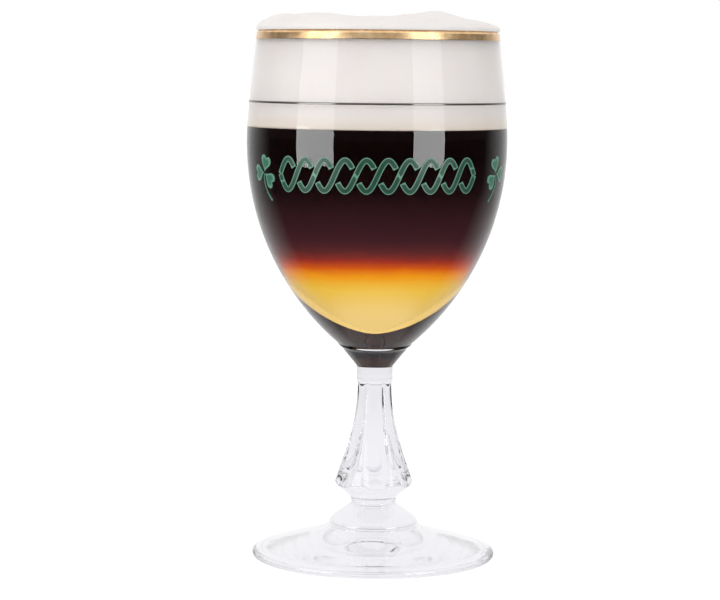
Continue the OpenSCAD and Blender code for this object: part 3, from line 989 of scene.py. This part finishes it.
class GLASS_OT_drink(Operator):
    """Pour the whiskey and the coffee"""

    bl_idname = "coffee_glass.drink"
    bl_label = "Whiskey and coffee"

    def execute(self, context):
        g = context.scene.coffee_glass
        side = cavity(g.bowl, g.drink.wetting)
        brim = radius_at(side, g.drink.coffee_top)
        top = g.drink.coffee_top - 0.02 * MM
        profile = [p for p in side if p[1] < g.drink.coffee_top - 0.1 * MM]
        profile += [(brim, top)] + line((brim, top), (0, top), 8)
        piece = turned_piece("layered_drink", profile, 144, drink_material(g.colours, g.drink))
        declared(piece, "coffee", "whiskey_layer", "coffee_layer")
        return {"FINISHED"}


class GLASS_OT_cream_layer(Operator):
    """Float the cream on the coffee, up to the rim"""

    bl_idname = "coffee_glass.cream_layer"
    bl_label = "Cream layer"

    def execute(self, context):
        g = context.scene.coffee_glass
        low, high = g.drink.coffee_top, g.drink.crown_seat
        side = cavity(g.bowl, g.drink.wetting)
        neck = g.bowl.rim_radius - g.bowl.lip - 0.15 * MM
        profile = [(0, low)] + line((0, low), (radius_at(side, low), low), 8)
        profile += [p for p in side if p[1] > low]
        profile += [(neck, g.bowl.rim_height - 0.1 * MM), (neck, high)] + line((neck, high), (0, high), 6)
        material = cream_material("floated_cream", g.colours, low, 0.3)
        declared(turned_piece("cream_layer_soft", profile, 144, material), "cream", "cream_layer")
        return {"FINISHED"}


class GLASS_OT_cream_crown(Operator):
    """Heap whipped cream over the rim"""

    bl_idname = "coffee_glass.cream_crown"
    bl_label = "Cream crown"

    def execute(self, context):
        g = context.scene.coffee_glass
        drink, n = g.drink, CROWN_SECTORS
        points = []
        for i in range(CROWN_RINGS):
            q = math.sin(math.pi / 2 * (i + 1) / CROWN_RINGS)
            edge = math.sqrt(max(0.0, 1 - q**4))
            for j in range(n):
                a = TAU * j / n
                x, y = q * math.cos(a), q * math.sin(a)
                where = Vector((x, y, 0.3)) * 5.0
                folds = noise.fractal(where, 0.9, 2.1, 4) - 0.4 * abs(noise.noise(where * 1.9))
                fine = 0.28 * noise.noise(where * 6.0)
                r = g.bowl.rim_radius * q + drink.crown_swell * math.sin(math.pi * edge)
                r = max(r + 0.3 * edge * drink.folds * fine, 0.0)
                z = drink.crown_seat + drink.crown * edge * (1 + self.humps(x, y))
                z += min(1.0, 2.5 * edge) * drink.folds * (folds + fine)
                points.append((r * math.cos(a), r * math.sin(a), max(z, drink.crown_seat)))
        top, rim = len(points), (CROWN_RINGS - 1) * n
        points += [(0, 0, drink.crown_seat + drink.crown * (1 + self.humps(0, 0))), (0, 0, drink.crown_seat)]
        faces = []
        for j in range(n):
            k = (j + 1) % n
            faces.append((top, j, k))
            faces += [(i + j, i + n + j, i + n + k, i + k) for i in range(0, rim, n)]
            faces.append((top + 1, rim + k, rim + j))
        piece = new_piece("whipped_cream", points, faces=faces)
        piece.data.polygons.foreach_set("use_smooth", [True] * len(faces))
        piece.data.materials.append(cream_material("whipped_cream", g.colours))
        declared(piece, "cream", "cream_crown")
        return {"FINISHED"}

    def humps(self, x, y):
        return sum(h * math.exp(-((x - hx) ** 2 + (y - hy) ** 2) / w**2) for hx, hy, h, w in CROWN_HUMPS)


class GLASS_OT_gilding(Operator):
    """Gild the rim"""

    bl_idname = "coffee_glass.gilding"
    bl_label = "Gilded rim"

    def execute(self, context):
        g = context.scene.coffee_glass
        bowl, gap, thickness = g.bowl, g.prints.gap, g.prints.gilding_thickness
        side, centre = bowl_outside(bowl, g.stem), lip_centre(bowl)
        low = bowl.rim_height - g.prints.gilding_band
        rise = [low + (centre[1] - low) * i / 10 for i in range(10)]
        inner = bowl.lip / 2 + gap
        profile = beside(side, rise, gap + thickness) + arc(centre, inner + thickness, 0, 150, 20)
        profile += arc(centre, inner, 0, 150, 20)[::-1] + beside(side, rise[::-1], gap)
        piece = turned_piece("rim_gold", profile + profile[:1], 240, gold_material(g.colours))
        declared(piece, "gilding", "rim_gilding")
        return {"FINISHED"}


class GLASS_OT_fill_line(Operator):
    """Paint the fill line round the bowl"""

    bl_idname = "coffee_glass.fill_line"
    bl_label = "Fill line"

    def execute(self, context):
        g = context.scene.coffee_glass
        prints = g.prints
        side = bowl_outside(g.bowl, g.stem)
        low, high = prints.line_bottom, prints.line_top
        rise = [low + (high - low) * i / 4 for i in range(5)]
        outer = prints.gap + prints.thickness
        profile = beside(side, rise[:1], LINE_EDGE * outer) + beside(side, rise[1:-1], outer)
        profile += beside(side, rise[-1:], LINE_EDGE * outer) + beside(side, rise[::-1], prints.gap)
        piece = turned_piece("line_round_bowl", profile + profile[:1], 240, line_material(g.colours))
        declared(piece, "line_enamel", "fill_line")
        return {"FINISHED"}


class GLASS_OT_shamrocks(Operator):
    """Print the two shamrocks"""

    bl_idname = "coffee_glass.shamrocks"
    bl_label = "Shamrocks"

    def execute(self, context):
        g = context.scene.coffee_glass
        prints = g.prints
        green = green_material("leaf_enamel", tinted(g.colours.green, 2.4), g.colours.green_pale)
        along = [i / 16 for i in range(17)]
        widths = [prints.stalk_width * (1 + t) / 2 for t in along]
        for name, node, turn, mirror in (
            ("shamrock_on_left", "shamrock_left", prints.left_turn, 1),
            ("shamrock_on_right", "shamrock_right", prints.right_turn, -1),
        ):
            shapes = [leaf(math.radians(a) - prints.tilt, prints, mirror) for a in LEAVES]
            away = (-mirror * math.sin(prints.tilt), -math.cos(prints.tilt))
            path = []
            for t in along:
                out, bend = prints.leaf_gap + t * prints.stalk, STALK_BEND * prints.stalk * t * t * mirror
                path.append((out * away[0] + bend, out * away[1]))
            shapes.append(ribbon(path, widths, prints.thickness))
            declared(print_piece(name, shapes, g, green, Turn=turn), "green_enamel", node)
        return {"FINISHED"}


class GLASS_OT_knotwork(Operator):
    """Print the two-strand knotwork between the shamrocks"""

    bl_idname = "coffee_glass.knotwork"
    bl_label = "Knotwork"

    def execute(self, context):
        g = context.scene.coffee_glass
        prints = g.prints
        pitch, height, turns = prints.knot_pitch, prints.knot_height, prints.knot_turns
        crossing = 2 * math.atan2(math.pi * height, pitch)
        spare = prints.strand_gap + prints.strand / 2 * (1 + abs(math.cos(crossing)))
        gap = spare / math.sin(crossing) / math.hypot(pitch, math.pi * height)

        def strand(start, end, side, shift):
            steps = max(4, round((end - start) * KNOT_STEPS))
            places = [start + (end - start) * i / steps for i in range(steps + 1)]
            path = [((t - shift) * pitch, side * height / 2 * math.sin(TAU * t)) for t in places]
            return ribbon(path, [prints.strand] * len(path), prints.thickness)

        unit = [strand(0, 0.5 - gap, 1, 0.5), strand(0.5 + gap, 1, 1, 0.5), strand(gap, 1 - gap, -1, 0.5)]
        ends = [strand(0, gap, -1, turns / 2), strand(turns - gap, turns, -1, turns / 2)]
        green = green_material("knot_enamel", g.colours.green, g.colours.green_pale)
        piece = print_piece("knotwork_band", unit, g, green, ends, Count=turns, Pitch=pitch)
        declared(piece, "green_enamel", "knot_border")
        return {"FINISHED"}


class GLASS_OT_studio(Operator):
    """Set up the floor, the world, the lamps and the camera"""

    bl_idname = "coffee_glass.studio"
    bl_label = "Studio"

    def execute(self, context):
        g = context.scene.coffee_glass
        studio, scene = g.studio, context.scene
        scene.view_settings.view_transform = "Standard"
        for bounces in ("max_bounces", "glossy_bounces", "transmission_bounces", "transparent_max_bounces"):
            setattr(scene.cycles, bounces, BOUNCES)
        self.camera(scene, studio)
        corners = [(x * studio.floor, y * studio.floor, 0) for x, y in ((-1, -1), (1, -1), (1, 1), (-1, 1))]
        floor = new_piece("studio_floor", corners, faces=[(0, 1, 2, 3)])
        floor.location.z = -FLOOR_DROP
        floor.data.materials.append(paper_material(g.colours))
        self.world(scene, studio)
        for name, (azimuth, width) in STRIPS.items():
            self.strip(name, azimuth, width, studio)
        for name, (place, size) in LAMPS.items():
            self.lamp(f"{name}_lamp", place, size, getattr(studio, f"{name}_light"))
        return {"FINISHED"}

    def camera(self, scene, studio):
        data = bpy.data.cameras.new("camera")
        data.lens, data.sensor_width = studio.focal_length, 36.0
        data.clip_start, data.clip_end = 0.01, 40.0
        camera = bpy.data.objects.new("camera", data)
        turn = Matrix.Rotation(math.pi / 2 - studio.pitch, 4, "X") @ Matrix.Rotation(studio.roll, 4, "Z")
        camera.matrix_world = Matrix.Translation((studio.aside, -studio.distance, studio.height)) @ turn
        scene.collection.objects.link(camera)
        scene.camera = camera

    def world(self, scene, studio):
        """White to the eye; the gloss of the glass sees a dark room in front and white round it."""
        scene.world = bpy.data.worlds.new("studio_world")
        scene.world.use_nodes = True
        scene.world.node_tree.nodes.clear()
        graph = Graph(scene.world.node_tree)
        m, between, pick = graph.math, graph.between, graph.pick
        rays = graph.outs("ShaderNodeLightPath")
        _, back, up = graph.parts(graph.vector("NORMALIZE", graph.where("Generated")))
        facing = back / m("MAXIMUM", m("SQRT", 1.0 - up * up), 0.05)

        def white(least, backwards, upwards):
            """White towards the back and overhead, and no darker than least in front."""
            share = m("MAXIMUM", between(facing, *backwards), between(up, *upwards))
            return between(share, 0.0, 1.0, least, 1.0)

        gloss = white(0.07, (0.35, 0.95), (0.08, 0.36))
        through = white(0.7, (-0.35, 0.05), (0.2, 0.5))
        # Matt things behind glass are lit by what their own light meets outside it
        matt = m("MINIMUM", rays["Diffuse Depth"], 1.0)
        through = pick(matt, through, studio.inner_light)
        light = pick(rays["Is Glossy Ray"], studio.fill_light, gloss)
        light = pick(rays["Is Transmission Ray"], light, through)
        light = {"Color": (1, 1, 1), "Strength": pick(rays["Is Camera Ray"], light, 1.0)}
        graph.add("ShaderNodeOutputWorld", {"Surface": graph.out("ShaderNodeBackground", light)})

    def lamp(self, name, place, size, power, tall=None):
        """A square lamp that shines on the glass, or a tall one that shines level."""
        data = bpy.data.lights.new(name, "AREA")
        data.shape = "RECTANGLE"
        data.size, data.size_y = size, tall or size
        data.energy = power
        lamp = bpy.data.objects.new(name, data)
        aim = Vector((0, 0, place[2] if tall else LAMP_AIM)) - Vector(place)
        lamp.matrix_world = Matrix.Translation(place) @ aim.to_track_quat("-Z", "Y").to_matrix().to_4x4()
        bpy.context.scene.collection.objects.link(lamp)
        lamp.visible_camera = lamp.visible_transmission = lamp.visible_glossy = False
        return lamp

    def strip(self, name, azimuth, width, studio):
        """Tall light strip that the gloss shows, dimmer higher up; azimuth and width are in degrees."""
        turn = math.radians(azimuth)
        reach, split = studio.strip_distance, studio.strip_split
        wide = 2 * reach * math.sin(math.radians(width / 2))
        spans = {
            "low": (MM, split, studio.strip_light),
            "high": (split, studio.strip_height, studio.strip_haze),
        }
        for part, (low, high, radiance) in spans.items():
            place = (reach * math.sin(turn), -reach * math.cos(turn), (low + high) / 2)
            power = radiance * math.pi * wide * (high - low)
            lamp = self.lamp(f"{name}_{part}", place, wide, power, high - low)
            lamp.visible_glossy = True
            lamp.visible_diffuse = False


class GLASS_PT_panel(Panel):
    """Lists the pieces and the stage"""

    bl_idname = "GLASS_PT_panel"
    bl_label = "Coffee Glass"
    bl_space_type = "VIEW_3D"
    bl_region_type = "UI"
    bl_category = "Coffee Glass"

    def draw(self, context):
        for step in STEPS:
            self.layout.operator(step.bl_idname)


GROUPS = (BowlSizes, StemSizes, FootSizes, DrinkSizes, PrintSizes, Colours, Studio, CoffeeGlass)
STEPS = (
    GLASS_OT_studio,
    GLASS_OT_fused_glass,
    GLASS_OT_drink,
    GLASS_OT_cream_layer,
    GLASS_OT_cream_crown,
    GLASS_OT_gilding,
    GLASS_OT_fill_line,
    GLASS_OT_shamrocks,
    GLASS_OT_knotwork,
)


def register():
    for item in (*GROUPS, *STEPS, GLASS_PT_panel):
        bpy.utils.register_class(item)
    bpy.types.Scene.coffee_glass = PointerProperty(type=CoffeeGlass)


def unregister():
    del bpy.types.Scene.coffee_glass
    for item in reversed((*GROUPS, *STEPS, GLASS_PT_panel)):
        bpy.utils.unregister_class(item)


def main():
    register()
    for step in STEPS:
        family, name = step.bl_idname.split(".")
        getattr(getattr(bpy.ops, family), name)()


if __name__ == "__main__":
    main()
